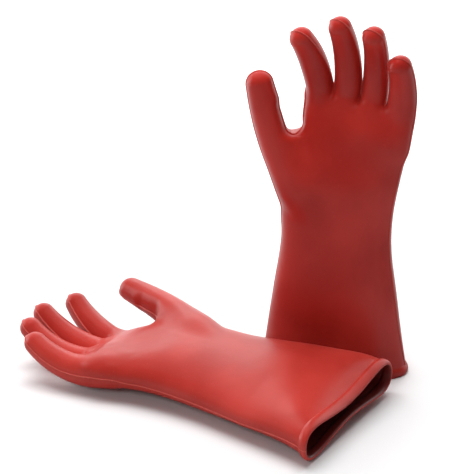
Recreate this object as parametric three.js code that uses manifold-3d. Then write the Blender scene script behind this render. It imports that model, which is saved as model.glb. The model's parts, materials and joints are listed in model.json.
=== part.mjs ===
// A pair of moulded rubber electrician's gauntlet gloves: the left glove stands on its cuff with the palm
// forward, the right glove lies palm up in front of it. Millimetres, +Z up, floor at z = 0.
// Each glove is drawn once in its own frame: the cuff lies in z = 0, the fingers point along +z, the palm
// faces -y and the thumb is at -x. The right glove is that same glove mirrored, with a flattened sleeve.
import * as THREE from "three";
import { LoftGeometry } from "three/addons/geometries/LoftGeometry.js";
import { mergeVertices } from "three/addons/utils/BufferGeometryUtils.js";
import Module from "manifold-3d";

// ---- rubber ----
const WALL = 2; // thickness of the rubber everywhere
const SHEET_GAP = 0.4; // between the palm sheet and the back sheet
const JOINT_GAP = 0.5; // between two zones of rubber, measured at the hinge line
const BEAD_HEIGHT = 8; // rolled bead round the cuff
const BEAD_PROUD = 2; // how far the bead stands out of the sleeve
const BEAD_REST = 0.9; // how far the bead's flat end face stands out of the sleeve
const SQUARENESS = 2.2; // superellipse exponent of the sleeve and palm sections

// ---- how far each zone turns, in degrees: the notches are cut half as deep on each side of a hinge ----
const FINGER_FLEX = 45;
const FINGER_EXTEND = 15;
const THUMB_FLEX = 35;
const THUMB_EXTEND = 12;
const WRIST_SWING = 25;
const NOTCH_SLACK = 0.8;
const WRIST_AT = 150; // height of the wrist hinge above the cuff

// ---- sleeve and hand stations, from the cuff to the crown between the fingers ----
const station = (z, halfWidth, halfDepth, x, y) => ({ z, halfWidth, halfDepth, x, y });
const HAND = [
  station(200, 56, 22.5, -2, 0.5), // thumb base
  station(235, 57.2, 21.5, 2.2, 6), // palm
  station(252, 55.5, 18, 4.2, 8.5), // knuckles
  station(265, 51, 12, 4.5, 10), // just below the webs
  station(271, 46, 8, 4, 10.5), // crown
];
const STANDING = [
  station(0, 72.5, 33, 0.8, 2), // cuff
  station(40, 66.6, 29.5, -1.1, 1.5),
  station(80, 61, 27, -2, -0.5), // forearm
  station(130, 54, 24, -3.5, -0.5), // narrowest, above the wrist
  station(165, 53.3, 22.5, -3.8, 0), // heel of the hand
  ...HAND,
];
const LYING = [
  station(0, 88, 32, -2.5, 7.2),
  station(22, 83, 28, -3.8, 2.6),
  station(50, 76, 23.5, -3.4, 0.8),
  station(80, 69.5, 21, -2.7, 0),
  station(130, 60, 20.5, -3.5, -0.5),
  station(165, 58, 22, -5, 0),
  ...HAND,
];
const CUFF_PINCH = 0.73; // the two sheets of the lying sleeve nearly meet in the middle of the cuff
const PINCH_REACH = 100; // and open out again over this length
const CUFF_SKEW = 0.08; // the lying hand is rolled a little, so its cuff is skewed to lie flat on the floor
const SKEW_REACH = 75;
const HAND_SKEW = 0.19; // the knuckles lie further back on the index finger's side
const HAND_SKEW_FROM = 205;
const HAND_SKEW_TO = 262;

// ---- digits: each spine is an arc that starts inside the hand and ends at the centre of a round tip ----
// splay leans the digit sideways, turn rolls the plane it bends in, and bend is its slope at root and tip.
// radius is that of the root and of the tip, and swell is what the middle of the digit has over their mean.
const DIGITS = {
  thumb: {
    root: [-45, -6, 189.5],
    splay: -27.4,
    turn: 73,
    bend: [-2.2, 15.5],
    length: 107.5,
    radius: [17, 12.4],
    swell: 1.2,
    knuckle: 69,
    middle: 90,
  },
  index: {
    root: [-29, 20.5, 265.5],
    splay: -7.8,
    turn: -22,
    bend: [-1.4, 38.3],
    length: 75,
    radius: [12.5, 11.2],
    swell: 1.6,
    knuckle: 27,
    middle: 50,
  },
  middle: {
    root: [-5.5, 18, 259.5],
    splay: 3.1,
    turn: -23,
    bend: [-5.6, 37.2],
    length: 92.8,
    radius: [13.3, 10.9],
    swell: 0.8,
    knuckle: 34,
    middle: 61,
  },
  ring: {
    root: [19.5, 5.5, 246],
    splay: 2.6,
    turn: -10,
    bend: [-25.5, 40],
    length: 100.5,
    radius: [12.8, 10.7],
    swell: 0.5,
    knuckle: 46,
    middle: 73,
  },
  little: {
    root: [44.4, 4, 233.5],
    splay: 7,
    turn: -24,
    bend: [-14.5, 35],
    length: 85.5,
    radius: [15.2, 11.1],
    swell: 0.6,
    knuckle: 50,
    middle: 68,
  },
};
const THUMB_HINGE_ROLL = 40; // the thumb bends in towards the palm
const THUMB_SEAM_Y = -9; // the seam dips to the thumb's own middle
const THUMB_SEAM_FROM = -34;
const THUMB_SEAM_TO = -60;

// ---- where the two gloves are ----
const LEFT_AT = [96, 72, 0];
const LEFT_YAW = -15.5;
const LEFT_LEAN_X = 0.03; // the standing glove leans a little to its right
const LEFT_LEAN_Y = -0.045; // and a little forward
const RIGHT_AT = [103.5, -76, 0];
const RIGHT_HEADING = 30; // how far its cuff is turned out of the picture
const RIGHT_PITCH = 1.1;
const RIGHT_ROLL = -6.5;

// ---- mesh fineness ----
const SLEEVE_SIDES = 20;
const SLEEVE_RINGS = 9;
const DIGIT_SIDES = 10;
const DIGIT_RINGS = 5;
const TIP_RINGS = 3;
const ROOT_RINGS = 2;

const REACH = 400; // size of the cutting blocks
const wasm = await Module();
wasm.setup();
const rad = THREE.MathUtils.degToRad;
const V = (x, y, z) => new THREE.Vector3(x, y, z);
const X = V(1, 0, 0);

function solidOf(geometry) {
  const bare = new THREE.BufferGeometry();
  bare.setAttribute("position", geometry.getAttribute("position"));
  bare.setIndex(geometry.index);
  const merged = mergeVertices(bare, 1e-4);
  return new wasm.Manifold(
    new wasm.Mesh({
      numProp: 3,
      vertProperties: new Float32Array(merged.attributes.position.array),
      triVerts: new Uint32Array(merged.index.array),
    }),
  );
}

function geometryOf(solid) {
  const mesh = solid.getMesh();
  const points = new Float32Array(mesh.numVert * 3);
  for (let i = 0; i < mesh.numVert; i++) {
    points.set(mesh.vertProperties.subarray(i * mesh.numProp, i * mesh.numProp + 3), i * 3);
  }
  const geometry = new THREE.BufferGeometry();
  geometry.setAttribute("position", new THREE.BufferAttribute(points, 3));
  geometry.setIndex(new THREE.BufferAttribute(new Uint32Array(mesh.triVerts), 1));
  geometry.computeVertexNormals();
  return geometry;
}

const loft = (sections) =>
  solidOf(new LoftGeometry(sections, { closed: true, capStart: true, capEnd: true }));

// ---- sleeve and hand ----

// A smooth curve through one measure of the stations, read at any height.
function measureAt(stations, key, z) {
  const last = stations.length - 1;
  const slope = (i) => {
    const a = stations[Math.max(i - 1, 0)];
    const b = stations[Math.min(i + 1, last)];
    return (b[key] - a[key]) / (b.z - a.z);
  };
  let i = 0;
  while (i < last - 1 && stations[i + 1].z < z) i++;
  const [a, b] = [stations[i], stations[i + 1]];
  const h = b.z - a.z;
  const t = THREE.MathUtils.clamp((z - a.z) / h, 0, 1);
  const s = 1 - t;
  return (
    (1 + 2 * t) * s * s * a[key] +
    t * s * s * h * slope(i) +
    t * t * (3 - 2 * t) * b[key] -
    t * t * s * h * slope(i + 1)
  );
}

// How much the body comes forward at one place, away from the thumb's side: a skewed cuff and the knuckles do.
function skewAt(glove, z, x) {
  const cuff = glove.skew * Math.max(0, 1 - z / SKEW_REACH);
  const slope = cuff + HAND_SKEW * THREE.MathUtils.smoothstep(z, HAND_SKEW_FROM, HAND_SKEW_TO);
  return slope * (x - measureAt(glove.stations, "x", Math.max(0, z)));
}

// The outline of the body at one height: a superellipse, pinched in its middle near a flattened cuff.
function bodyOutline(glove, z) {
  const m = (key) => measureAt(glove.stations, key, z);
  const pinch = glove.pinch * Math.max(0, 1 - z / PINCH_REACH) ** 1.5;
  const outline = [];
  for (let i = 0; i < SLEEVE_SIDES; i++) {
    const t = (2 * Math.PI * i) / SLEEVE_SIDES;
    const c = Math.cos(t);
    const s = Math.sin(t);
    const u = Math.sign(c) * Math.abs(c) ** (2 / SQUARENESS);
    const v = Math.sign(s) * Math.abs(s) ** (2 / SQUARENESS) * (1 - pinch * (1 - u * u));
    const x = m("x") + u * m("halfWidth");
    outline.push(new THREE.Vector2(x, m("y") + v * m("halfDepth") - skewAt(glove, z, x)));
  }
  return outline;
}

// One ring of the body: the outline at height z, pushed out (or in) by an offset and set at ringZ.
function bodyRing(glove, z, offset, ringZ = z) {
  const outline = bodyOutline(glove, THREE.MathUtils.clamp(z, 0, glove.stations.at(-1).z));
  return outline.map((point, i) => {
    const before = outline.at(i - 1);
    const after = outline[(i + 1) % SLEEVE_SIDES];
    const out = new THREE.Vector2(after.y - before.y, before.x - after.x).normalize();
    return V(point.x + out.x * offset, point.y + out.y * offset, ringZ);
  });
}

const seamY = (glove, z) =>
  measureAt(glove.stations, "y", THREE.MathUtils.clamp(z, 0, glove.stations.at(-1).z));

function ringHeights(glove) {
  const low = BEAD_HEIGHT + SHEET_GAP;
  const high = glove.stations.at(-1).z;
  const heights = [];
  for (let i = 0; i <= SLEEVE_RINGS; i++) heights.push(low + ((high - low) * i) / SLEEVE_RINGS);
  return heights;
}

function bodyOuter(glove) {
  return loft(ringHeights(glove).map((z) => bodyRing(glove, z, 0)));
}

function bodyInner(glove) {
  const top = glove.stations.at(-1).z - WALL;
  const rings = [bodyRing(glove, 0, -WALL, -5)];
  for (let i = 0; i <= SLEEVE_RINGS; i++) {
    rings.push(bodyRing(glove, (top * i) / SLEEVE_RINGS, -WALL));
  }
  return loft(rings);
}

// The rolled bead: a round-sided ring with a flat end face.
function bead(glove) {
  const profile = [
    [0, BEAD_REST],
    [0.14, 0.8 * BEAD_PROUD],
    [0.5, BEAD_PROUD],
    [0.86, 0.8 * BEAD_PROUD],
    [1, 0.35 * BEAD_PROUD],
  ];
  const rings = profile.map(([share, proud]) =>
    bodyRing(glove, 0, proud, share * BEAD_HEIGHT),
  );
  return loft(rings).subtract(bodyInner(glove));
}

// ---- digits ----

// Point, direction, hinge line and palmward normal of a digit's spine at a distance from its root.
function spineAt(name, distance) {
  const digit = DIGITS[name];
  const along = V(Math.sin(rad(digit.splay)), 0, Math.cos(rad(digit.splay)));
  const side = V(Math.cos(rad(digit.splay)), 0, -Math.sin(rad(digit.splay)));
  const down = V(0, -Math.cos(rad(digit.turn)), 0).addScaledVector(side, Math.sin(rad(digit.turn)));
  const slope = (s) => {
    const share = THREE.MathUtils.clamp(s / digit.length, 0, 1);
    return rad(THREE.MathUtils.lerp(digit.bend[0], digit.bend[1], share));
  };
  const heading = (s) =>
    along.clone().multiplyScalar(Math.cos(slope(s))).addScaledVector(down, Math.sin(slope(s)));
  const point = V(...digit.root);
  const steps = 24;
  for (let i = 0; i < steps; i++) {
    point.addScaledVector(heading(((i + 0.5) * distance) / steps), distance / steps);
  }
  const direction = heading(distance);
  const across = X.clone();
  if (name === "thumb") across.applyAxisAngle(direction, rad(THUMB_HINGE_ROLL));
  const hinge = across.addScaledVector(direction, -across.dot(direction)).normalize();
  const palmward = hinge.clone().cross(direction).normalize();
  if (palmward.y > 0) palmward.negate();
  return { point, direction, hinge, palmward };
}

function radiusAt(name, distance) {
  const digit = DIGITS[name];
  const share = THREE.MathUtils.clamp(distance / digit.length, 0, 1);
  const taper = THREE.MathUtils.lerp(digit.radius[0], digit.radius[1], share);
  return taper + digit.swell * Math.sin(Math.PI * share);
}

function spineStops(name) {
  const stops = [];
  for (let i = 0; i <= DIGIT_RINGS; i++) stops.push((DIGITS[name].length * i) / DIGIT_RINGS);
  return stops;
}

function digitRing(name, distance, radius, push = 0) {
  const { point, direction, hinge, palmward } = spineAt(name, distance);
  const back = palmward.clone().negate();
  const sign = Math.sign(hinge.clone().cross(back).dot(direction));
  const ring = [];
  for (let i = 0; i < DIGIT_SIDES; i++) {
    const t = (sign * 2 * Math.PI * (i + 0.5)) / DIGIT_SIDES;
    ring.push(
      point
        .clone()
        .addScaledVector(direction, push)
        .addScaledVector(hinge, Math.cos(t) * radius)
        .addScaledVector(back, Math.sin(t) * radius),
    );
  }
  return ring;
}

function digitSolid(name, offset) {
  const length = DIGITS[name].length;
  const rings = [];
  const base = radiusAt(name, 0) + offset;
  for (let i = ROOT_RINGS; i >= 1; i--) {
    const angle = (i / (ROOT_RINGS + 0.4)) * 0.5 * Math.PI;
    rings.push(digitRing(name, 0, base * Math.cos(angle), -base * Math.sin(angle)));
  }
  for (const s of spineStops(name)) {
    rings.push(digitRing(name, s, radiusAt(name, s) + offset));
  }
  const tip = radiusAt(name, length) + offset;
  for (let i = 1; i <= TIP_RINGS; i++) {
    const angle = (i / (TIP_RINGS + 0.25)) * 0.5 * Math.PI;
    rings.push(digitRing(name, length, tip * Math.cos(angle), tip * Math.sin(angle)));
  }
  return loft(rings);
}

// ---- cutting blocks ----

// Everything on the far side of a plane.
function beyond(point, normal) {
  const box = new THREE.BoxGeometry(REACH, REACH, REACH);
  const turn = new THREE.Quaternion().setFromUnitVectors(V(0, 0, 1), normal);
  box.applyQuaternion(turn);
  const centre = point.clone().addScaledVector(normal, REACH / 2);
  box.translate(centre.x, centre.y, centre.z);
  return solidOf(box);
}

// The notched end of a zone at a hinge: its palm half and its back half are both cut back from the hinge
// line. side is +1 for the zone beyond the hinge and -1 for the one before it.
function zoneSide(at, side, flex, extend) {
  const cut = (into, degrees) => {
    const normal = at.direction
      .clone()
      .multiplyScalar(side * Math.cos(rad(degrees)))
      .addScaledVector(into, -Math.sin(rad(degrees)))
      .normalize();
    const point = at.point.clone().addScaledVector(at.direction, (side * JOINT_GAP) / 2);
    return beyond(point, normal);
  };
  const back = at.palmward.clone().negate();
  return cut(at.palmward, flex / 2 + NOTCH_SLACK).intersect(cut(back, extend / 2 + NOTCH_SLACK));
}

function digitSide(name, distance, side) {
  const isThumb = name === "thumb";
  return zoneSide(
    spineAt(name, distance),
    side,
    isThumb ? THUMB_FLEX : FINGER_FLEX,
    isThumb ? THUMB_EXTEND : FINGER_EXTEND,
  );
}

// Everything on the palm side of a digit's own seam, with the face of the block moved by a shift.
function digitSeamBlock(name, shift) {
  const sections = [...spineStops(name), DIGITS[name].length * 1.35].map((s) => {
    const { point, hinge, palmward, direction } = spineAt(name, s);
    const at = (h, n) => point.clone().addScaledVector(hinge, h).addScaledVector(palmward, n);
    const section = [at(30, -shift), at(30, 40), at(-30, 40), at(-30, -shift)];
    const turnsLeft = hinge.clone().cross(palmward).dot(direction) > 0;
    return turnsLeft ? section : section.reverse();
  });
  return loft(sections);
}

// Everything on the palm side of the seam round the sleeve and the hand. On the thumb's side the seam
// dips to the middle of the thumb.
function bodySeamBlock(glove, shift) {
  const depth = 130;
  const sections = [-30, ...ringHeights(glove), 300, 340].map((z) => {
    const y = seamY(glove, z) + shift;
    const dip = THREE.MathUtils.smoothstep(z, 130, 205) * (THUMB_SEAM_Y + shift - y);
    return [
      V(-150, y + dip - skewAt(glove, z, -150), z),
      V(-150, -depth, z),
      V(150, -depth, z),
      V(150, y - skewAt(glove, z, 150), z),
      V(THUMB_SEAM_FROM, y - skewAt(glove, z, THUMB_SEAM_FROM), z),
      V(THUMB_SEAM_TO, y + dip - skewAt(glove, z, THUMB_SEAM_TO), z),
    ];
  });
  return loft(sections);
}

// The palm sheet or the back sheet of a piece of rubber.
function sheetOf(solid, seamBlock, sheet) {
  return sheet === "palm"
    ? solid.intersect(seamBlock(-SHEET_GAP / 2))
    : solid.subtract(seamBlock(SHEET_GAP / 2));
}

// ---- one glove, in its own frame ----

function gloveSolids(glove) {
  const names = Object.keys(DIGITS);
  const outerDigits = Object.fromEntries(names.map((n) => [n, digitSolid(n, 0)]));
  const innerDigits = Object.fromEntries(names.map((n) => [n, digitSolid(n, -WALL)]));
  const body = bodyOuter(glove);
  let hollow = bodyInner(glove);
  for (const name of names) hollow = hollow.add(innerDigits[name]);

  const wrist = {
    point: V(measureAt(glove.stations, "x", WRIST_AT), seamY(glove, WRIST_AT), WRIST_AT),
    direction: V(0, 0, 1),
    palmward: V(0, -1, 0),
  };
  const sleeveZone = zoneSide(wrist, -1, WRIST_SWING, WRIST_SWING);
  let hand = body.intersect(zoneSide(wrist, 1, WRIST_SWING, WRIST_SWING));
  for (const name of names) {
    hand = hand.add(outerDigits[name].intersect(digitSide(name, DIGITS[name].knuckle, -1)));
  }
  const pieces = { cuff_bead: bead(glove) };
  const bodySeam = (shift) => bodySeamBlock(glove, shift);
  for (const sheet of ["palm", "back"]) {
    const sleeve = body.intersect(sleeveZone).subtract(hollow);
    pieces["gauntlet_" + sheet] = sheetOf(sleeve, bodySeam, sheet);
    pieces["hand_" + sheet] = sheetOf(hand.subtract(hollow), bodySeam, sheet);
    for (const name of names) {
      const { knuckle, middle } = DIGITS[name];
      const tube = outerDigits[name].subtract(innerDigits[name]);
      const half = sheetOf(tube, (shift) => digitSeamBlock(name, shift), sheet);
      const past = half.intersect(digitSide(name, knuckle, 1));
      pieces[name + "_proximal_" + sheet] = past.intersect(digitSide(name, middle, -1));
      pieces[name + "_distal_" + sheet] = past.intersect(digitSide(name, middle, 1));
    }
  }
  return pieces;
}

// ---- both gloves in the part's frame ----

function leftPlace() {
  const yaw = new THREE.Matrix4().makeRotationZ(rad(LEFT_YAW));
  const lean = new THREE.Matrix4().makeShear(0, 0, 0, 0, LEFT_LEAN_X, LEFT_LEAN_Y);
  const move = new THREE.Matrix4().makeTranslation(...LEFT_AT);
  return move.multiply(lean).multiply(yaw);
}

function rightPlace() {
  const heading = rad(RIGHT_HEADING);
  const lay = new THREE.Matrix4().makeBasis(
    V(Math.sin(heading), Math.cos(heading), 0),
    V(0, 0, -1),
    V(-Math.cos(heading), Math.sin(heading), 0),
  );
  const roll = new THREE.Matrix4().makeRotationZ(rad(RIGHT_ROLL));
  const pitch = new THREE.Matrix4().makeRotationX(rad(RIGHT_PITCH));
  const mirror = new THREE.Matrix4().makeScale(-1, 1, 1);
  const move = new THREE.Matrix4().makeTranslation(...RIGHT_AT);
  return move.multiply(lay).multiply(roll).multiply(pitch).multiply(mirror);
}

// A glove's meshes in its own frame, inside a group that holds its place.
function gloveGroup(side, glove, place, colour) {
  const group = new THREE.Group();
  group.matrixAutoUpdate = false;
  group.matrix.copy(place);
  for (const [name, solid] of Object.entries(gloveSolids(glove))) {
    const rubber = new THREE.MeshStandardMaterial({ color: colour, roughness: 0.45, metalness: 0 });
    const mesh = new THREE.Mesh(geometryOf(solid), rubber);
    mesh.name = side + "_" + name;
    group.add(mesh);
  }
  return group;
}

function boxOf(group) {
  group.updateMatrixWorld(true);
  return new THREE.Box3().setFromObject(group, true);
}

const leftGlove = gloveGroup("left", { stations: STANDING, pinch: 0, skew: 0 }, leftPlace(), 0xa83128);
const lying = { stations: LYING, pinch: CUFF_PINCH, skew: CUFF_SKEW };
const rightGlove = gloveGroup("right", lying, rightPlace(), 0xc4544c);

// Each glove rests on the floor, and the pair is centred over the origin.
for (const group of [leftGlove, rightGlove]) {
  group.matrix.premultiply(new THREE.Matrix4().makeTranslation(0, 0, -boxOf(group).min.z));
}
const centre = boxOf(leftGlove).union(boxOf(rightGlove)).getCenter(V(0, 0, 0));
const pair = new THREE.Group();
pair.name = "insulating_gloves";
pair.position.set(-centre.x, -centre.y, 0);
pair.add(leftGlove, rightGlove);

export default pair;
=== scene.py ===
"""The looks of a pair of moulded rubber electrician's gauntlet gloves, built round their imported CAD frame.

Each glove's skin is one smooth implicit surface, worked out in the glove's own frame in millimetres: the cuff
is at z = 0, the fingers point along +z, the palm faces -y and the thumb is at -x. The surface is meshed once,
given a raised parting line and a wall, cut into the zones that the joints move, and put in the row's frame.
"""

import json
import math

import bpy
import numpy as np
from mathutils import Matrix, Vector


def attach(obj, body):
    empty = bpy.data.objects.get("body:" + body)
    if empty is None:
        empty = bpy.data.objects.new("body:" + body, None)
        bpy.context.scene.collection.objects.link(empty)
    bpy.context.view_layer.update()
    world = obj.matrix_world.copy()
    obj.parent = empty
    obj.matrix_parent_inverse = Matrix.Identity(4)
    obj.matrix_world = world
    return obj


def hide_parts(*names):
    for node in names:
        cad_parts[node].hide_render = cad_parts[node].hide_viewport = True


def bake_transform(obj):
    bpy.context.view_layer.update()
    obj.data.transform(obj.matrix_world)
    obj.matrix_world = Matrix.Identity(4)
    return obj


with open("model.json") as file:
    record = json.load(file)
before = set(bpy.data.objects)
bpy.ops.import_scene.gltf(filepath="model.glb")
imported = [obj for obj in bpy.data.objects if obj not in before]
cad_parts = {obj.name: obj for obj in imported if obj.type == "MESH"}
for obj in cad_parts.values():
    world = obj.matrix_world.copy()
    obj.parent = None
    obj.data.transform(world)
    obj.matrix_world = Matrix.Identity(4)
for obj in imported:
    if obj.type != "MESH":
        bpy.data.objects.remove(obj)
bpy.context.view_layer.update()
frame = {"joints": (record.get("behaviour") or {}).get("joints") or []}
JOINTS = {joint["name"]: joint for joint in frame["joints"]}
MM = 0.001

# ---- rubber, in millimetres ----
WALL = 2.0
RIDGE_HEIGHT = 1.0  # the parting line
RIDGE_HALF_WIDTH = 0.75
SQUARENESS = 2.2

# ---- how softly the solids run into one another ----
FINGER_BLEND = 3.0
WEB_BLEND = 7.0
THUMB_BLEND = 18.0  # of the thumb into the hand, reached at the upper of the next two heights
THUMB_BLEND_HEIGHTS = (112.0, 200.0)
CROWN_BLEND = 6.0
THUMB_WEB_BLEND = 7.0

# ---- mesh fineness ----
FINE = 1.3  # hand and fingers
COARSE = 2.4  # along the sleeve
SKIN_LOW = 7.4  # the skin's edge is tucked inside the bead
EDGE_SHARE = 0.55  # points within this share of a coarse cell above it are put on that edge
COARSE_TO = 195.0
FINE_FROM = 195.3
GRID_X = (-112.0, 94.0)
GRID_Y = (-48.0, 48.0)
GRID_TOP = 364.0
GRID_SLICE = 16  # layers worked out at a time
LARGEST_STEP = 2.0  # how far a point moves towards the surface at once
RELAX_STEP = 0.6
RELAX_ROUNDS = 4
CUT_MARGIN = 0.06  # a cut keeps this share of an edge away from its ends
STATION_STEP = 0.5

# ---- stations: height, half width, half depth, shift across, shift in depth ----
HAND_STATIONS = [
    (200, 56, 22.5, -2, 0.5),
    (235, 57, 21, 2.2, 6),
    (252, 55, 17.5, 4.2, 8.5),
    (265, 51, 11, 4.5, 10),
    (276, 47, 7, 4, 10.5),
]
STANDING = [
    (0, 72.5, 33, 0.8, 2),
    (40, 66.6, 29.5, -1.1, 1.5),
    (80, 61, 27, -2, -0.5),
    (130, 54, 24, -3.5, -0.5),
    (165, 54.2, 22.5, -4.4, 0),
] + HAND_STATIONS
LYING = [
    (0, 88, 32, -2.5, 7.2),
    (22, 83, 28, -3.8, 2.6),
    (50, 76, 23.5, -3.4, 0.8),
    (80, 69.5, 21.7, -2.7, 0.7),
    (130, 60, 23, -3.5, 2),
    (165, 57.5, 23.5, -4.5, 1.5),
    (200, 56, 23.2, -2, 1.2),
] + HAND_STATIONS[1:]
CUFF_PINCH = 0.73  # the two sheets of the lying cuff nearly meet in its middle
PINCH_REACH = 100.0
CUFF_SKEW = 0.08  # and it is skewed to lie flat under a hand that is rolled a little
SKEW_REACH = 75.0
HAND_SKEW = 0.19  # the knuckles lie further back on the index finger's side
HAND_SKEW_HEIGHTS = (205.0, 262.0)
PALM_HOLLOW = 0.2
HOLLOW_AT = (6.0, 226.0)
HOLLOW_SIZE = (30.0, 36.0)
THUMB_WEB_AT = (-50.7, 248.0)  # the round bottom of the valley between thumb and index finger
THUMB_WEB_RADIUS = 7.2
THUMB_WEB_LEAN = -16.0
THUMB_WEB_REACH = 20.0
CROWN_HEIGHT = 271.5
CROWN_SLANT = 0.1  # the webs step down from the index finger to the little finger
CROWN_SLANT_HEIGHTS = (225.0, 262.0)
CROWN_SLANT_ABOUT = 10.0

DIGITS = {
    "thumb": dict(root=(-45, -6, 189.5), splay=-27.4, turn=73, bend=(-2.2, 15.5), length=107.5,
                  radius=(17.0, 12.4), swell=1.2, knuckle=69, middle=90),
    "index": dict(root=(-29, 20.5, 265.5), splay=-7.8, turn=-22, bend=(-1.4, 38.3), length=75,
                  radius=(12.3, 11.2), swell=1.6, knuckle=27, middle=50),
    "middle": dict(root=(-5.5, 18, 259.5), splay=3.1, turn=-23, bend=(-5.6, 37.2), length=92.8,
                   radius=(13.3, 10.9), swell=0.8, knuckle=34, middle=61),
    "ring": dict(root=(19.5, 5.5, 246), splay=2.6, turn=-10, bend=(-25.5, 40), length=100.5,
                 radius=(12.8, 10.7), swell=0.5, knuckle=46, middle=73),
    "little": dict(root=(44.4, 4, 233.5), splay=7, turn=-24, bend=(-14.5, 35), length=85.5,
                   radius=(15.1, 11.1), swell=0.6, knuckle=50, middle=68),
}
# below its root a digit's muscle runs on inside the hand: its length there, and the radius it narrows to
ROOT_RUN = {"thumb": (60.0, 6.0), "little": (30.0, 4.0)}
# degrees by which each digit's parting line is turned towards the palm
SEAM_TURN = {"thumb": 25, "index": 20, "middle": 22, "ring": 18, "little": 8}
THUMB_HINGE_ROLL = 40.0
SEAM_SOFTNESS = 4.0
SEAM_DEPTHS = (-20.0, 40.0)  # further inside or outside than this, a solid's pull on the line stays the same
SEAM_FAR = 9.0  # the skin's outside stores its distance to the parting line up to this
SEAM_INSIDE = 20.0  # and its inside stores this, which the material paints with shade
THUMB_SEAM_Y = -9.0  # the line dips to this on the thumb's side
THUMB_SEAM_HEIGHTS = (130.0, 205.0)
THUMB_SEAM_ACROSS = (-60.0, -34.0)
SEAM_RISE = {"left": 5.5, "right": -2.5}  # how far the line lies palmward on the little finger's side
SEAM_RISE_ACROSS = (0.0, 40.0)
SEAM_RISE_HEIGHTS = (-20.0, 60.0)

# ---- stretches of a digit before and after its hinge, which set where its zones meet ----
BEND_BEFORE = 5.5
BEND_AFTER = 12.0
KNUCKLE_LEAST_AFTER = 8.0
MIDDLE_BEND_BEFORE = (5.0, 8.5)  # least and most
BEND_MARGIN = 0.8  # the bend span worked out for a digit, which nothing uses, stays this far from its zone's edge
ZONE_REACH = 3.0  # skin this near to a digit belongs to it
WRIST_AT = 150.0
WRIST_BEND = 17.0
WRIST_MARGIN = 1.5

# ---- where the gloves are ----
LEFT_YAW = -15.5
LEFT_LEAN = (0.03, -0.045)
RIGHT_HEADING = 30.0
RIGHT_PITCH = 1.1
RIGHT_ROLL = -6.5

# ---- the cuff's bead: distance out from the sleeve's outside, and height, round its section ----
BEAD_PROFILE = [
    (-2.1, 9.4), (-0.6, 9.5), (0.2, 9.1), (0.9, 8.3), (1.5, 7.2), (1.9, 5.8),
    (2.0, 4.4), (1.9, 3.0), (1.5, 1.6), (0.9, 0.7), (0.2, 0.15), (-0.4, 0.0),
    (-1.2, 0.0), (-1.9, 0.25), (-2.5, 0.9), (-2.75, 1.9), (-2.7, 4.0), (-2.45, 7.0),
]
BEAD_STEPS = 220
BEAD_INSIDE = -1.5  # points further in than this face the arm
OUTLINE_SAMPLES = 2000

# ---- rubber's looks ----
LEFT_TONE = (0.50, 0.026, 0.018)
# the lying glove's red is the same rubber's red made paler and pinker: painted light for the overhead light
# on its upturned sides
RIGHT_TONE_WITH_PAINTED_LIGHT = (0.52, 0.040, 0.029)
CLOUD_SCALE = 14.0
WAVE_SCALE = 38.0
SPECK_SCALE = 420.0
GRAIN_SCALE = 2600.0
LINE_FADE = (0.2, 0.8)  # from the parting line, in millimetres: a painted highlight along its ridge
SHADE_FADE = (0.9, 2.2)  # painted shade next to it, where the ridge's shadow falls
INSIDE_FADE = (12.0, 18.0)  # stored distances that mean the glove's inside, which is given painted shade

# ---- studio, in metres and watts ----
FLOOR_FRONT = -3.0
FLOOR_BACK = 1.2  # the floor starts to curve up here
BACKDROP_CURVE = 1.2
BACKDROP_STEPS = 12
BACKDROP_TOP = 5.0
BACKDROP_HALF_WIDTH = 6.0
BACKDROP_GLOW = (0.1, 1.6, 0.0, 0.75)  # from this y to that y, the glow goes from one strength to the other
MIRROR_SHADE = (-0.1, 0.6, 1.0, 0.0)  # and the floor's share of dark in what the rubber mirrors
PAPER = (0.86, 0.86, 0.865, 1)
PAPER_MIRRORED = (0.1, 0.1, 0.1, 1)
WORLD_STRENGTH = 0.1
LIGHTS_AIM = (0.0, 0.0, 0.1)
LIGHTS = {
    "overhead": dict(place=(-0.1, 0.2, 1.6), size=(1.5, 1.1), power=29, mirrored=False),
    "rear_softbox": dict(place=(0.1, 1.35, 1.0), size=(1.3, 0.45), power=3, mirrored=True),
    "front_fill": dict(place=(-0.7, -2.0, 1.4), size=(0.7, 0.6), power=12, mirrored=False),
    "left_rim": dict(place=(-1.5, 0.5, 0.5), size=(0.7, 1.2), power=6, mirrored=True),
}
CAMERA_AIM = (0.0228, -0.0003, 0.1627)
CAMERA_ELEVATION = 20.7
CAMERA_DISTANCE = 1.6653
CAMERA_LENS = 136.8
CAMERA_SENSOR = 36


def smooth_min(a, b, k):
    h = np.maximum(k - np.abs(a - b), 0.0) / k
    return np.minimum(a, b) - h * h * k * 0.25


def smooth_step(x, low, high):
    t = np.clip((x - low) / (high - low), 0.0, 1.0)
    return t * t * (3 - 2 * t)


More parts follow.
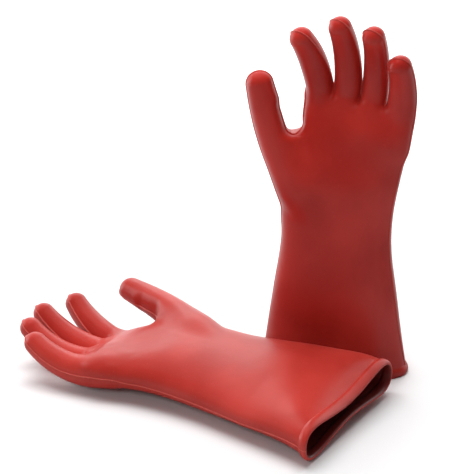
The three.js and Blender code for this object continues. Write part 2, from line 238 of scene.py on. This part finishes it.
class Digit:
    """A tube with a round tip, whose spine is an arc."""

    def __init__(self, name):
        spec = DIGITS[name]
        self.name = name
        self.length = spec["length"]
        self.radius = spec["radius"]
        self.swell = spec["swell"]
        reach, self.root_end = ROOT_RUN.get(name, (0.0, 0.0))
        self.start = -reach
        self.seam_turn = math.radians(SEAM_TURN[name])
        self.knuckle = spec["knuckle"]
        self.middle = spec["middle"]
        splay = math.radians(spec["splay"])
        turn = math.radians(spec["turn"])
        self.along = np.array([math.sin(splay), 0, math.cos(splay)])
        side = np.array([math.cos(splay), 0, -math.sin(splay)])
        self.down = np.array([0, -math.cos(turn), 0]) + side * math.sin(turn)
        first, last = (math.radians(b) for b in spec["bend"])
        self.first = first
        self.curve = (last - first) / self.length
        self.centre = (
            np.array(spec["root"], float)
            - self.along * math.sin(first) / self.curve
            + self.down * math.cos(first) / self.curve
        )

    def spine(self, s):
        angle = (self.first + self.curve * np.asarray(s, float))[..., None]
        point = self.centre + (self.along * np.sin(angle) - self.down * np.cos(angle)) / self.curve
        return point, self.along * np.cos(angle) + self.down * np.sin(angle)

    def nearest(self, points):
        q = points - self.centre
        angle = np.arctan2(q @ self.along, -(q @ self.down))
        return np.clip((angle - self.first) / self.curve, self.start, self.length)

    def radius_at(self, s):
        share = np.maximum(s / self.length, 0.0)
        radius = self.radius[0] + (self.radius[1] - self.radius[0]) * share
        radius = radius + self.swell * np.sin(np.pi * share)
        if self.start < 0:
            below = smooth_step(-s, 0.0, -self.start)
            radius = radius + (self.root_end - self.radius[0]) * below
        return radius

    def distance(self, points):
        s = self.nearest(points)
        point, _ = self.spine(s)
        return np.linalg.norm(points - point, axis=-1) - self.radius_at(s)

    def seam_normal(self, direction):
        across = np.zeros_like(direction) + np.array([1.0, 0, 0])
        if self.name == "thumb":
            roll = math.radians(THUMB_HINGE_ROLL)
            across = (
                across * math.cos(roll)
                + np.cross(direction, across) * math.sin(roll)
                + direction * (direction @ np.array([1.0, 0, 0]))[..., None] * (1 - math.cos(roll))
            )
        across = across - direction * np.sum(across * direction, -1, keepdims=True)
        across /= np.linalg.norm(across, axis=-1, keepdims=True)
        palm = np.cross(across, direction)
        palm = palm * -np.sign(palm[..., 1:2])
        return palm * math.cos(self.seam_turn) - across * math.sin(self.seam_turn)

    def seam(self, points):
        s = self.nearest(points)
        point, direction = self.spine(s)
        return -np.sum((points - point) * self.seam_normal(direction), -1)


ALL_DIGITS = {name: Digit(name) for name in DIGITS}
FINGERS = [ALL_DIGITS[name] for name in ("index", "middle", "ring", "little")]
THUMB = ALL_DIGITS["thumb"]


class Body:
    """The sleeve and the hand without its digits."""

    def __init__(self, side, stations, pinch, skew):
        self.pinch = pinch
        self.skew = skew
        self.rise = SEAM_RISE[side]
        rows = np.array(stations, float)
        heights = rows[:, 0]
        self.z = np.arange(0.0, heights[-1] + STATION_STEP, STATION_STEP)
        slopes = np.zeros_like(rows)
        slopes[1:-1] = (rows[2:] - rows[:-2]) / (heights[2:] - heights[:-2])[:, None]
        slopes[0] = (rows[1] - rows[0]) / (heights[1] - heights[0])
        slopes[-1] = (rows[-1] - rows[-2]) / (heights[-1] - heights[-2])
        i = np.clip(np.searchsorted(heights, self.z, "right") - 1, 0, len(rows) - 2)
        step = (heights[i + 1] - heights[i])[:, None]
        t = (self.z - heights[i])[:, None] / step
        self.table = (
            (1 + 2 * t) * (1 - t) ** 2 * rows[i]
            + t * (1 - t) ** 2 * step * slopes[i]
            + t * t * (3 - 2 * t) * rows[i + 1]
            - t * t * (1 - t) * step * slopes[i + 1]
        )

    def measure(self, column, z):
        return np.interp(z, self.z, self.table[:, column])

    def slanted(self, points):
        z = points[..., 2]
        return z + CROWN_SLANT * (points[..., 0] - CROWN_SLANT_ABOUT) * smooth_step(z, *CROWN_SLANT_HEIGHTS)

    def pinch_at(self, u, z):
        fade = np.maximum(0.0, 1 - np.maximum(z, 0.0) / PINCH_REACH) ** 1.5
        return 1 - self.pinch * fade * np.clip(1 - u * u, 0.0, 1.0)

    def skew_at(self, z):
        cuff = self.skew * np.maximum(0.0, 1 - np.maximum(z, 0.0) / SKEW_REACH)
        return cuff + HAND_SKEW * smooth_step(z, *HAND_SKEW_HEIGHTS)

    def hollow(self, points):
        x = (points[..., 0] - HOLLOW_AT[0]) / HOLLOW_SIZE[0]
        z = (points[..., 2] - HOLLOW_AT[1]) / HOLLOW_SIZE[1]
        return 1 - PALM_HOLLOW * np.exp(-x * x - z * z)

    def distance(self, points):
        z = self.slanted(points)
        a = self.measure(1, z)
        b = self.measure(2, z)
        x = points[..., 0] - self.measure(3, z)
        u = x / a
        y = points[..., 1] - self.measure(4, z) + self.skew_at(z) * x
        b = b * self.pinch_at(u, z) * np.where(y < 0, self.hollow(points), 1.0)
        v = y / b
        n = SQUARENESS
        f = (np.abs(u) ** n + np.abs(v) ** n) ** (1 / n) + 1e-9
        gx = (np.abs(u) / f) ** (n - 1) / a
        gy = (np.abs(v) / f) ** (n - 1) / b
        sides = (f - 1) / np.sqrt(gx * gx + gy * gy)
        return -smooth_min(-sides, -(z - CROWN_HEIGHT), CROWN_BLEND)

    def seam(self, points):
        x, z = points[..., 0], points[..., 2]
        y = self.measure(4, z) - self.skew_at(z) * (x - self.measure(3, z))
        y = y - self.rise * smooth_step(x, *SEAM_RISE_ACROSS) * smooth_step(z, *SEAM_RISE_HEIGHTS)
        dip = smooth_step(z, *THUMB_SEAM_HEIGHTS) * (1 - smooth_step(x, *THUMB_SEAM_ACROSS))
        return points[..., 1] - y - dip * (THUMB_SEAM_Y - y)


def thumb_web(points):
    """Distance to the open valley between thumb and index finger, which runs through the hand along y."""
    lean = math.radians(THUMB_WEB_LEAN)
    x = points[..., 0] - THUMB_WEB_AT[0]
    z = points[..., 2] - THUMB_WEB_AT[1]
    up = np.clip(x * math.sin(lean) + z * math.cos(lean), 0.0, THUMB_WEB_REACH)
    return np.hypot(x - up * math.sin(lean), z - up * math.cos(lean)) - THUMB_WEB_RADIUS


def glove_distance(body, points):
    """Distance to a whole glove's outside, in millimetres, negative inside."""
    d = body.distance(points)
    reach = points[..., 2] > THUMB_BLEND_HEIGHTS[0]
    if not reach.any():
        return d
    high = points[reach]
    fingers = None
    for digit in FINGERS:
        one = digit.distance(high)
        fingers = one if fingers is None else smooth_min(fingers, one, FINGER_BLEND)
    hand = smooth_min(d[reach], fingers, WEB_BLEND)
    d = d.copy()
    blend = 1.0 + (THUMB_BLEND - 1.0) * smooth_step(high[..., 2], *THUMB_BLEND_HEIGHTS)
    hand = smooth_min(hand, THUMB.distance(high), blend)
    d[reach] = -smooth_min(-hand, thumb_web(high), THUMB_WEB_BLEND)
    return d


def gradient(body, points, step=0.2):
    g = np.empty_like(points)
    for axis in range(3):
        shift = np.zeros(3)
        shift[axis] = step
        g[:, axis] = glove_distance(body, points + shift) - glove_distance(body, points - shift)
    return g / (2 * step)


def to_surface(body, points, rounds, flat=None):
    """Moves points onto the surface. Those marked flat keep their height."""
    for _ in range(rounds):
        g = gradient(body, points)
        if flat is not None:
            g[flat, 2] = 0.0
        length = np.maximum(np.sum(g * g, 1), 1e-6)
        step = glove_distance(body, points) / length
        points = points - g * np.clip(step, -LARGEST_STEP, LARGEST_STEP)[:, None]
    return points


def seam_field(body, points):
    """Distance in front of the parting line, blended between the hand's and the digits' own lines."""
    fields = [(body.distance(points), body.seam(points))]
    for digit in ALL_DIGITS.values():
        fields.append((digit.distance(points), digit.seam(points)))
    total = np.zeros(len(points))
    weights = np.zeros(len(points))
    for d, p in fields:
        w = np.exp(-np.clip(d, *SEAM_DEPTHS) / SEAM_SOFTNESS)
        total += w * p
        weights += w
    return total / weights


# ---- meshing ----

def surface_nets(values, axes):
    """Quads of the zero surface of values on a grid whose lines are at axes."""
    inside = values < 0
    cells = tuple(n - 1 for n in values.shape)
    corners = [(i, j, k) for i in (0, 1) for j in (0, 1) for k in (0, 1)]
    count = np.zeros(cells, np.int8)
    for i, j, k in corners:
        count += inside[i:i + cells[0], j:j + cells[1], k:k + cells[2]]
    where = np.argwhere((count > 0) & (count < 8))
    index = np.full(cells, -1, np.int64)
    index[tuple(where.T)] = np.arange(len(where))
    total = np.zeros((len(where), 3))
    hits = np.zeros(len(where))
    for a in corners:
        for axis in range(3):
            if a[axis]:
                continue
            b = list(a)
            b[axis] = 1
            na = where + np.array(a)
            nb = where + np.array(b)
            va = values[tuple(na.T)]
            vb = values[tuple(nb.T)]
            cross = (va < 0) != (vb < 0)
            t = np.where(cross, va / np.where(cross, va - vb, 1.0), 0.0)
            pa = np.stack([axes[m][na[:, m]] for m in range(3)], 1)
            pb = np.stack([axes[m][nb[:, m]] for m in range(3)], 1)
            total += np.where(cross[:, None], pa + (pb - pa) * t[:, None], 0.0)
            hits += cross
    points = total / hits[:, None]
    quads = []
    for axis in range(3):
        second, third = (axis + 1) % 3, (axis + 2) % 3
        low = [slice(1, -1)] * 3
        high = [slice(1, -1)] * 3
        low[axis] = slice(0, -1)
        high[axis] = slice(1, None)
        near = inside[tuple(low)]
        far = inside[tuple(high)]
        for out, flip in ((near & ~far, False), (far & ~near, True)):
            node = np.argwhere(out)
            node[:, second] += 1
            node[:, third] += 1
            ring = []
            for ds, dt in ((-1, -1), (0, -1), (0, 0), (-1, 0)):
                cell = node.copy()
                cell[:, second] += ds
                cell[:, third] += dt
                ring.append(index[tuple(cell.T)])
            quad = np.stack(ring, 1)
            quads.append(quad[:, ::-1] if flip else quad)
    return points, np.concatenate(quads)


def relax(body, points, quads, edge, rounds):
    """Evens out the mesh along the surface."""
    pairs = np.concatenate([quads[:, [0, 1]], quads[:, [1, 2]], quads[:, [2, 3]], quads[:, [3, 0]]])
    degree = np.bincount(pairs[:, 0], minlength=len(points)) + np.bincount(pairs[:, 1], minlength=len(points))
    for _ in range(rounds):
        mean = np.zeros_like(points)
        for m in range(3):
            mean[:, m] = np.bincount(pairs[:, 0], points[pairs[:, 1], m], len(points))
            mean[:, m] += np.bincount(pairs[:, 1], points[pairs[:, 0], m], len(points))
        move = mean / degree[:, None] - points
        move[edge] = 0.0
        normal = gradient(body, points)
        normal /= np.linalg.norm(normal, axis=1, keepdims=True)
        move -= normal * np.sum(move * normal, 1, keepdims=True)
        points = to_surface(body, points + RELAX_STEP * move, 1, edge)
    return points


def split_at(points, faces, value, level):
    """Cuts triangles along the line where value equals level."""
    side = value > level
    count = side[faces].sum(1)
    cut = (count == 1) | (count == 2)
    work = faces[cut]
    lone = np.argmax(side[work] == (count[cut] == 1)[:, None], axis=1)
    row = np.arange(len(work))
    a, b, c = (work[row, (lone + i) % 3] for i in range(3))
    edges = np.sort(np.concatenate([np.stack([a, b], 1), np.stack([a, c], 1)]), axis=1)
    unique, inverse = np.unique(edges, axis=0, return_inverse=True)
    inverse = inverse.reshape(-1)
    v0, v1 = value[unique[:, 0]], value[unique[:, 1]]
    t = np.clip((level - v0) / (v1 - v0), CUT_MARGIN, 1 - CUT_MARGIN)[:, None]
    made = points[unique[:, 0]] * (1 - t) + points[unique[:, 1]] * t
    ab = inverse[: len(work)] + len(points)
    ac = inverse[len(work):] + len(points)
    new_faces = [faces[~cut], np.stack([a, ab, ac], 1), np.stack([ab, b, c], 1), np.stack([ab, c, ac], 1)]
    return (
        np.concatenate([points, made]),
        np.concatenate(new_faces),
        np.concatenate([value, np.full(len(made), level)]),
    )


def vertex_normals(points, faces):
    a, b, c = (points[faces[:, i]] for i in range(3))
    area = np.cross(b - a, c - a)
    normals = np.zeros_like(points)
    for i in range(3):
        for m in range(3):
            normals[:, m] += np.bincount(faces[:, i], area[:, m], len(points))
    return normals / np.maximum(np.linalg.norm(normals, axis=1, keepdims=True), 1e-12)


def skin_mesh(body):
    """(outer points, inner points, triangles, seam distance) of a whole glove."""
    x = np.arange(*GRID_X, FINE)
    y = np.arange(*GRID_Y, FINE)
    z = np.concatenate([
        np.arange(SKIN_LOW - COARSE / 2, COARSE_TO, COARSE),
        np.arange(FINE_FROM, GRID_TOP, FINE),
    ])
    grid = np.stack(np.meshgrid(x, y, z, indexing="ij"), -1)
    values = np.empty(grid.shape[:3])
    for k in range(0, len(z), GRID_SLICE):
        layers = slice(k, k + GRID_SLICE)
        values[:, :, layers] = glove_distance(body, grid[:, :, layers])
    points, quads = surface_nets(values, (x, y, z))
    edge = points[:, 2] < SKIN_LOW + COARSE * EDGE_SHARE
    points[edge, 2] = SKIN_LOW
    points = to_surface(body, points, 2, edge)
    points = relax(body, points, quads, edge, RELAX_ROUNDS)
    points = to_surface(body, points, 1, edge)
    short = (
        np.linalg.norm(points[quads[:, 0]] - points[quads[:, 2]], axis=1)
        < np.linalg.norm(points[quads[:, 1]] - points[quads[:, 3]], axis=1)
    )
    one, two = quads[short], quads[~short]
    faces = np.concatenate([one[:, [0, 1, 2]], one[:, [0, 2, 3]], two[:, [0, 1, 3]], two[:, [1, 2, 3]]])
    seam = seam_field(body, points)
    for level in (RIDGE_HALF_WIDTH, -RIDGE_HALF_WIDTH, 0.0):
        points, faces, seam = split_at(points, faces, seam, level)
    normals = gradient(body, points)
    normals /= np.linalg.norm(normals, axis=1, keepdims=True)
    height = RIDGE_HEIGHT * np.clip(1 - np.abs(seam) / RIDGE_HALF_WIDTH, 0.0, 1.0)
    return points + normals * height[:, None], points - normals * WALL, faces, seam


# ---- placing ----

def about_x(angle):
    c, s = math.cos(angle), math.sin(angle)
    return np.array([[1.0, 0, 0], [0, c, -s], [0, s, c]])


def about_z(angle):
    c, s = math.cos(angle), math.sin(angle)
    return np.array([[c, -s, 0], [s, c, 0], [0, 0, 1.0]])


def glove_matrix(side, wrist_point):
    """The glove's own frame, in millimetres, to the row's frame, in metres.

    The wrist joint fixes where the glove is.
    """
    if side == "left":
        lean = np.array([[1, 0, LEFT_LEAN[0]], [0, 1, LEFT_LEAN[1]], [0, 0, 1.0]])
        linear = lean @ about_z(math.radians(LEFT_YAW))
    else:
        heading, roll, pitch = (math.radians(v) for v in (RIGHT_HEADING, RIGHT_ROLL, RIGHT_PITCH))
        c, s = math.cos(heading), math.sin(heading)
        lay = np.array([[s, 0, -c], [c, 0, s], [0, -1.0, 0]])
        mirror = np.diag([-1.0, 1.0, 1.0])
        linear = lay @ about_z(roll) @ about_x(pitch) @ mirror
    linear = linear * MM
    wrist = np.array(JOINTS[side + "_wrist"]["pos_m"])
    return linear, wrist - linear @ wrist_point


def make_object(name, points, faces, place, normals=None, seam=None):
    """A mesh object in the row's frame, from points in the glove's frame."""
    linear, offset = place
    world = points @ linear.T + offset
    if np.linalg.det(linear) < 0:
        faces = faces[:, ::-1]
    mesh = bpy.data.meshes.new(name)
    mesh.vertices.add(len(world))
    mesh.vertices.foreach_set("co", world.astype(np.float32).ravel())
    sides = faces.shape[1]
    mesh.loops.add(faces.size)
    mesh.loops.foreach_set("vertex_index", faces.astype(np.int32).ravel())
    mesh.polygons.add(len(faces))
    mesh.polygons.foreach_set("loop_start", np.arange(0, faces.size, sides, dtype=np.int32))
    mesh.update(calc_edges=True)
    mesh.validate()
    mesh.shade_smooth()
    if seam is not None:
        layer = mesh.attributes.new("seam", "FLOAT", "POINT")
        layer.data.foreach_set("value", seam.astype(np.float32))
    if normals is not None:
        turned = normals @ np.linalg.inv(linear)
        turned /= np.linalg.norm(turned, axis=1, keepdims=True)
        mesh.normals_split_custom_set_from_vertices(turned.tolist())
    obj = bpy.data.objects.new(name, mesh)
    bpy.context.scene.collection.objects.link(obj)
    return obj


def shell(name, outer, inner, faces, normals, seam, place):
    """A closed shell from some of the skin's triangles: outside, inside and the rims between them."""
    used, local = np.unique(faces, return_inverse=True)
    local = local.reshape(-1, 3)
    n = len(used)
    edges = np.concatenate([local[:, [0, 1]], local[:, [1, 2]], local[:, [2, 0]]])
    key = edges[:, 0] * n + edges[:, 1]
    back = edges[:, 1] * n + edges[:, 0]
    rim = edges[~np.isin(key, back)]
    a, b = rim[:, 0], rim[:, 1]
    walls = np.concatenate([np.stack([b, a, a + n], 1), np.stack([b, a + n, b + n], 1)])
    all_faces = np.concatenate([local, local[:, ::-1] + n, walls])
    points = np.concatenate([outer[used], inner[used]])
    all_normals = np.concatenate([normals[used], -normals[used]])
    # the inside gets the value that the material paints with shade
    all_seam = np.concatenate([np.clip(seam[used], -SEAM_FAR, SEAM_FAR), np.full(n, SEAM_INSIDE)])
    return make_object(name, points, all_faces, place, all_normals, all_seam)


def zones_of(points, faces):
    """For each triangle: the zone it belongs to, as a name."""
    middle = points[faces].mean(1)
    above_wrist = middle[:, 2] > WRIST_AT + WRIST_BEND + WRIST_MARGIN
    zone = np.where(above_wrist, "hand", "gauntlet").astype("U20")
    best = np.full(len(middle), np.inf)
    for name, digit in ALL_DIGITS.items():
        d = digit.distance(middle)
        past_knuckle = past(middle, digit, digit.knuckle, BEND_BEFORE)
        past_middle = past(middle, digit, digit.middle, bend_start(digit))
        near = (d < ZONE_REACH) & (d < best) & (past_knuckle > 0.0)
        best = np.where(near, d, best)
        zone[near] = name + "_proximal"
        zone[near & (past_middle > 0.0)] = name + "_distal"
    return zone


def hinge_point(digit, s, shift):
    point, direction = digit.spine(s)
    return point + direction * shift


def past(points, digit, s, before):
    """How far points lie beyond the plane across a digit that is this far before its hinge at s."""
    return (points - hinge_point(digit, s, -before)) @ digit.spine(s)[1]


def bend_start(digit):
    """How far before its middle hinge a digit starts to bend: what the knuckle's bend leaves."""
    room = digit.middle - digit.knuckle - BEND_AFTER
    least, most = MIDDLE_BEND_BEFORE
    return min(most, max(room, least))


# ---- looks ----

def rubber_material(name, tone):
    """Satin moulded rubber: uneven pigment, a dusty bloom, a fine skin, a painted highlight along the parting
    line with painted shade next to it, and painted shade on the glove's inside.
    """
    material = bpy.data.materials.new(name)
    material.use_nodes = True
    nodes, links = material.node_tree.nodes, material.node_tree.links
    nodes.clear()

    def add(kind, **values):
        node = nodes.new(kind)
        for key, value in values.items():
            if key in node.inputs:
                node.inputs[key].default_value = value
            else:
                setattr(node, key, value)
        return node

    def mix(kind, factor, a, b):
        node = nodes.new("ShaderNodeMix")
        node.data_type = "RGBA"
        node.blend_type = kind
        for socket, value in zip((node.inputs[0], node.inputs[6], node.inputs[7]), (factor, a, b)):
            if isinstance(value, bpy.types.NodeSocket):
                links.new(value, socket)
            else:
                socket.default_value = value
        return node.outputs[2]

    def ramp(source, low, high, out_low, out_high):
        node = nodes.new("ShaderNodeMapRange")
        node.interpolation_type = "SMOOTHSTEP"
        for i, value in enumerate((low, high, out_low, out_high), 1):
            node.inputs[i].default_value = value
        links.new(source, node.inputs[0])
        return node.outputs[0]

    def tinted(red, green, blue):
        return (min(1.0, tone[0] * red), tone[1] * green, tone[2] * blue, 1.0)

    place = add("ShaderNodeTexCoord").outputs["Object"]

    def noise(scale, detail, rough=0.5):
        node = add("ShaderNodeTexNoise", Scale=scale, Detail=detail, Roughness=rough)
        links.new(place, node.inputs["Vector"])
        return node.outputs["Fac"]

    cloud = noise(CLOUD_SCALE, 3.0)
    speck = noise(SPECK_SCALE, 4.0, 0.6)
    grain = noise(GRAIN_SCALE, 2.0, 0.6)
    base = tinted(1.0, 1.0, 1.0)
    deep = tinted(0.8, 0.62, 0.6)
    pale = tinted(1.12, 1.7, 1.8)
    # painted highlight for the ridge of the parting line
    painted_crest_highlight = tinted(1.3, 3.2, 3.6)
    # painted shade for the glove's inside, which gets less light
    dark = tinted(0.3, 0.3, 0.3)
    colour = mix("MIX", ramp(cloud, 0.35, 0.68, 0.0, 1.0), deep, base)
    colour = mix("MIX", ramp(speck, 0.56, 0.78, 0.0, 0.35), colour, pale)
    seam = add("ShaderNodeAttribute", attribute_name="seam").outputs["Fac"]
    absolute = nodes.new("ShaderNodeMath")
    absolute.operation = "ABSOLUTE"
    links.new(seam, absolute.inputs[0])
    # painted shade: darker rubber next to the parting line, standing in for the ridge's shadow
    painted_shade_beside = ramp(absolute.outputs[0], *SHADE_FADE, 0.55, 0.0)
    colour = mix("MIX", painted_shade_beside, colour, deep)
    # painted highlight along the ridge of the parting line
    line = ramp(absolute.outputs[0], *LINE_FADE, 0.7, 0.0)
    colour = mix("MIX", line, colour, painted_crest_highlight)
    # painted shade on the glove's inside
    colour = mix("MIX", ramp(absolute.outputs[0], *INSIDE_FADE, 0.0, 1.0), colour, dark)

    shader = add("ShaderNodeBsdfPrincipled")
    shader.inputs["IOR"].default_value = 1.5
    shader.inputs["Sheen Weight"].default_value = 0.04
    shader.inputs["Sheen Roughness"].default_value = 0.45
    shader.inputs["Sheen Tint"].default_value = (1.0, 0.72, 0.68, 1.0)
    links.new(colour, shader.inputs["Base Color"])
    links.new(ramp(cloud, 0.3, 0.7, 0.3, 0.37), shader.inputs["Roughness"])

    def bump(height, strength, distance, below=None):
        node = nodes.new("ShaderNodeBump")
        node.inputs["Strength"].default_value = strength
        node.inputs["Distance"].default_value = distance
        links.new(height, node.inputs["Height"])
        if below is not None:
            links.new(below, node.inputs["Normal"])
        return node.outputs["Normal"]

    wave = noise(WAVE_SCALE, 2.0)
    normal = bump(wave, 0.35, 0.0012)
    normal = bump(speck, 0.16, 0.0002, normal)
    normal = bump(grain, 0.14, 0.00006, normal)
    links.new(normal, shader.inputs["Normal"])
    output = add("ShaderNodeOutputMaterial")
    links.new(shader.outputs[0], output.inputs[0])
    return material


# ---- one glove ----

def cuff_outline(body, t, z):
    """Points of the cuff's outline at one height, and its outward normals."""
    u = np.sign(np.cos(t)) * np.abs(np.cos(t)) ** (2 / SQUARENESS)
    v = np.sign(np.sin(t)) * np.abs(np.sin(t)) ** (2 / SQUARENESS) * body.pinch_at(u, z)
    across = u * body.measure(1, z)
    ring = np.stack([
        body.measure(3, z) + across,
        body.measure(4, z) + v * body.measure(2, z) - body.skew_at(z) * across,
    ], 1)
    along = np.roll(ring, -1, 0) - np.roll(ring, 1, 0)
    out = np.stack([along[:, 1], -along[:, 0]], 1)
    return ring, out / np.linalg.norm(out, axis=1, keepdims=True)


def even_stops(body, count):
    """Angles at which the cuff's outline has evenly spaced points."""
    t = np.linspace(0, 2 * np.pi, OUTLINE_SAMPLES + 1)
    outline, _ = cuff_outline(body, t[:-1], 0.0)
    closed = np.concatenate([outline, outline[:1]])
    length = np.concatenate([[0.0], np.cumsum(np.linalg.norm(np.diff(closed, axis=0), axis=1))])
    return np.interp(np.linspace(0, length[-1], count, endpoint=False), length, t)


def make_bead(side, body, place, material):
    """The rolled ring round the cuff, which follows the cuff's outline at each height."""
    stops = even_stops(body, BEAD_STEPS)
    rows = len(BEAD_PROFILE)
    points = np.zeros((BEAD_STEPS, rows, 3))
    for j, (proud, height) in enumerate(BEAD_PROFILE):
        ring, out = cuff_outline(body, stops, height)
        points[:, j, :2] = ring + out * proud
        points[:, j, 2] = height
    i, j = np.meshgrid(np.arange(BEAD_STEPS), np.arange(rows), indexing="ij")
    i1, j1 = (i + 1) % BEAD_STEPS, (j + 1) % rows
    quads = np.stack([i * rows + j, i * rows + j1, i1 * rows + j1, i1 * rows + j], -1).reshape(-1, 4)
    name = side + "_rolled_bead"
    flat = points.reshape(-1, 3)
    seam = np.clip(body.seam(flat), -SEAM_FAR, SEAM_FAR)
    inner = np.array([proud < BEAD_INSIDE for proud, _ in BEAD_PROFILE])
    # faces towards the arm get the value that the material paints with shade
    seam = np.where(np.tile(inner, BEAD_STEPS), SEAM_INSIDE, seam)
    obj = make_object(name, flat, quads, place, seam=seam)
    obj.data.materials.append(material)
    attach(obj, side + "_gauntlet")
    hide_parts(side + "_cuff_bead")


def blend_digit(obj, name, row_point):
    """Works out where a digit's zone would bend over the hinge at its root end, which nothing uses, and bakes
    the zone's place into its mesh.
    """
    digit = ALL_DIGITS[name.split("_")[0]]
    proximal = digit.name + "_proximal"
    if name == proximal:
        hinge, before = digit.knuckle, BEND_BEFORE
        room = digit.middle - digit.knuckle - bend_start(digit) - BEND_MARGIN
        after = max(min(BEND_AFTER, room), KNUCKLE_LEAST_AFTER)
    else:
        hinge, before, after = digit.middle, bend_start(digit), BEND_AFTER
    start = row_point(hinge_point(digit, hinge, -(before - BEND_MARGIN)))
    end = row_point(hinge_point(digit, hinge, after))
    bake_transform(obj)


def make_glove(side, stations, pinch, skew, tone):
    body = Body(side, stations, pinch, skew)
    outer, inner, faces, seam = skin_mesh(body)
    wrist = np.array([body.measure(3, WRIST_AT), body.measure(4, WRIST_AT), WRIST_AT])
    place = glove_matrix(side, wrist)
    normals = vertex_normals(outer, faces)
    zone = zones_of(inner, faces)
    material = rubber_material(side + "_glove_rubber", tone)

    def row_point(p):
        linear, offset = place
        return tuple(linear @ np.asarray(p) + offset)

    for name in sorted(set(zone)):
        chosen = faces[zone == name]
        obj = shell(f"{side}_{name}_skin", outer, inner, chosen, normals, seam, place)
        obj.data.materials.append(material)
        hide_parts(f"{side}_{name}_palm", f"{side}_{name}_back")
        if name == "hand":
            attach(obj, side + "_hand")
        elif name == "gauntlet":
            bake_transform(obj)
        else:
            blend_digit(obj, name, row_point)
    make_bead(side, body, place, material)


make_glove("left", STANDING, 0.0, 0.0, LEFT_TONE)
make_glove("right", LYING, CUFF_PINCH, CUFF_SKEW, RIGHT_TONE_WITH_PAINTED_LIGHT)


# ---- stage, light and camera ----

def make_stage():
    """A pale floor that curves up into a white backdrop."""
    profile = [(FLOOR_FRONT, 0.0), (FLOOR_BACK, 0.0)]
    for i in range(1, BACKDROP_STEPS + 1):
        a = math.radians(90 * i / BACKDROP_STEPS)
        profile.append((FLOOR_BACK + BACKDROP_CURVE * math.sin(a), BACKDROP_CURVE * (1 - math.cos(a))))
    profile.append((FLOOR_BACK + BACKDROP_CURVE, BACKDROP_TOP))
    points = [(x, y, z) for y, z in profile for x in (-BACKDROP_HALF_WIDTH, BACKDROP_HALF_WIDTH)]
    quads = [(2 * i, 2 * i + 1, 2 * i + 3, 2 * i + 2) for i in range(len(profile) - 1)]
    mesh = bpy.data.meshes.new("backdrop")
    mesh.from_pydata(points, [], quads)
    mesh.shade_smooth()
    backdrop = bpy.data.objects.new("backdrop", mesh)
    bpy.context.scene.collection.objects.link(backdrop)
    mesh.materials.append(paper_material())


def paper_material():
    """White paper that glows towards the back and is dark in what the rubber mirrors of its near part."""
    material = bpy.data.materials.new("backdrop_paper")
    material.use_nodes = True
    nodes, links = material.node_tree.nodes, material.node_tree.links
    shader = nodes["Principled BSDF"]
    shader.inputs["Roughness"].default_value = 0.55
    shader.inputs["Emission Color"].default_value = (1, 1, 1, 1)
    split = nodes.new("ShaderNodeSeparateXYZ")
    links.new(nodes.new("ShaderNodeNewGeometry").outputs["Position"], split.inputs[0])

    def along_floor(limits):
        node = nodes.new("ShaderNodeMapRange")
        node.interpolation_type = "SMOOTHSTEP"
        for socket, value in zip(list(node.inputs)[1:5], limits):
            socket.default_value = value
        links.new(split.outputs["Y"], node.inputs[0])
        return node.outputs[0]

    links.new(along_floor(BACKDROP_GLOW), shader.inputs["Emission Strength"])
    mirrored = nodes.new("ShaderNodeMath")
    mirrored.operation = "MULTIPLY"
    links.new(along_floor(MIRROR_SHADE), mirrored.inputs[0])
    links.new(nodes.new("ShaderNodeLightPath").outputs["Is Glossy Ray"], mirrored.inputs[1])
    tint = nodes.new("ShaderNodeMix")
    tint.data_type = "RGBA"
    tint.inputs[6].default_value = PAPER
    tint.inputs[7].default_value = PAPER_MIRRORED
    links.new(mirrored.outputs[0], tint.inputs[0])
    links.new(tint.outputs[2], shader.inputs["Base Color"])
    return material


def area_light(name, place, size, power, mirrored):
    """A soft light turned to the gloves. The rubber mirrors it only when mirrored is true."""
    light = bpy.data.lights.new(name, "AREA")
    light.shape = "RECTANGLE"
    light.size, light.size_y = size
    light.energy = power
    obj = bpy.data.objects.new(name, light)
    obj.location = place
    obj.visible_glossy = mirrored
    obj.rotation_mode = "QUATERNION"
    obj.rotation_quaternion = (Vector(place) - Vector(LIGHTS_AIM)).to_track_quat("Z", "Y")
    bpy.context.scene.collection.objects.link(obj)


def make_world():
    world = bpy.data.worlds.new("studio")
    world.use_nodes = True
    background = world.node_tree.nodes["Background"]
    background.inputs["Color"].default_value = (1, 1, 1, 1)
    background.inputs["Strength"].default_value = WORLD_STRENGTH
    bpy.context.scene.world = world


def make_camera():
    elevation = math.radians(CAMERA_ELEVATION)
    data = bpy.data.cameras.new("camera")
    data.lens = CAMERA_LENS
    data.sensor_width = CAMERA_SENSOR
    camera = bpy.data.objects.new("camera", data)
    back = Vector((0, -math.cos(elevation), math.sin(elevation)))
    camera.location = Vector(CAMERA_AIM) + back * CAMERA_DISTANCE
    camera.rotation_mode = "QUATERNION"
    camera.rotation_quaternion = back.to_track_quat("Z", "Y")
    bpy.context.scene.collection.objects.link(camera)
    bpy.context.scene.camera = camera


make_stage()
make_world()
for light_name, light in LIGHTS.items():
    area_light(light_name, **light)
make_camera()
bpy.context.scene.view_settings.view_transform = "Standard"
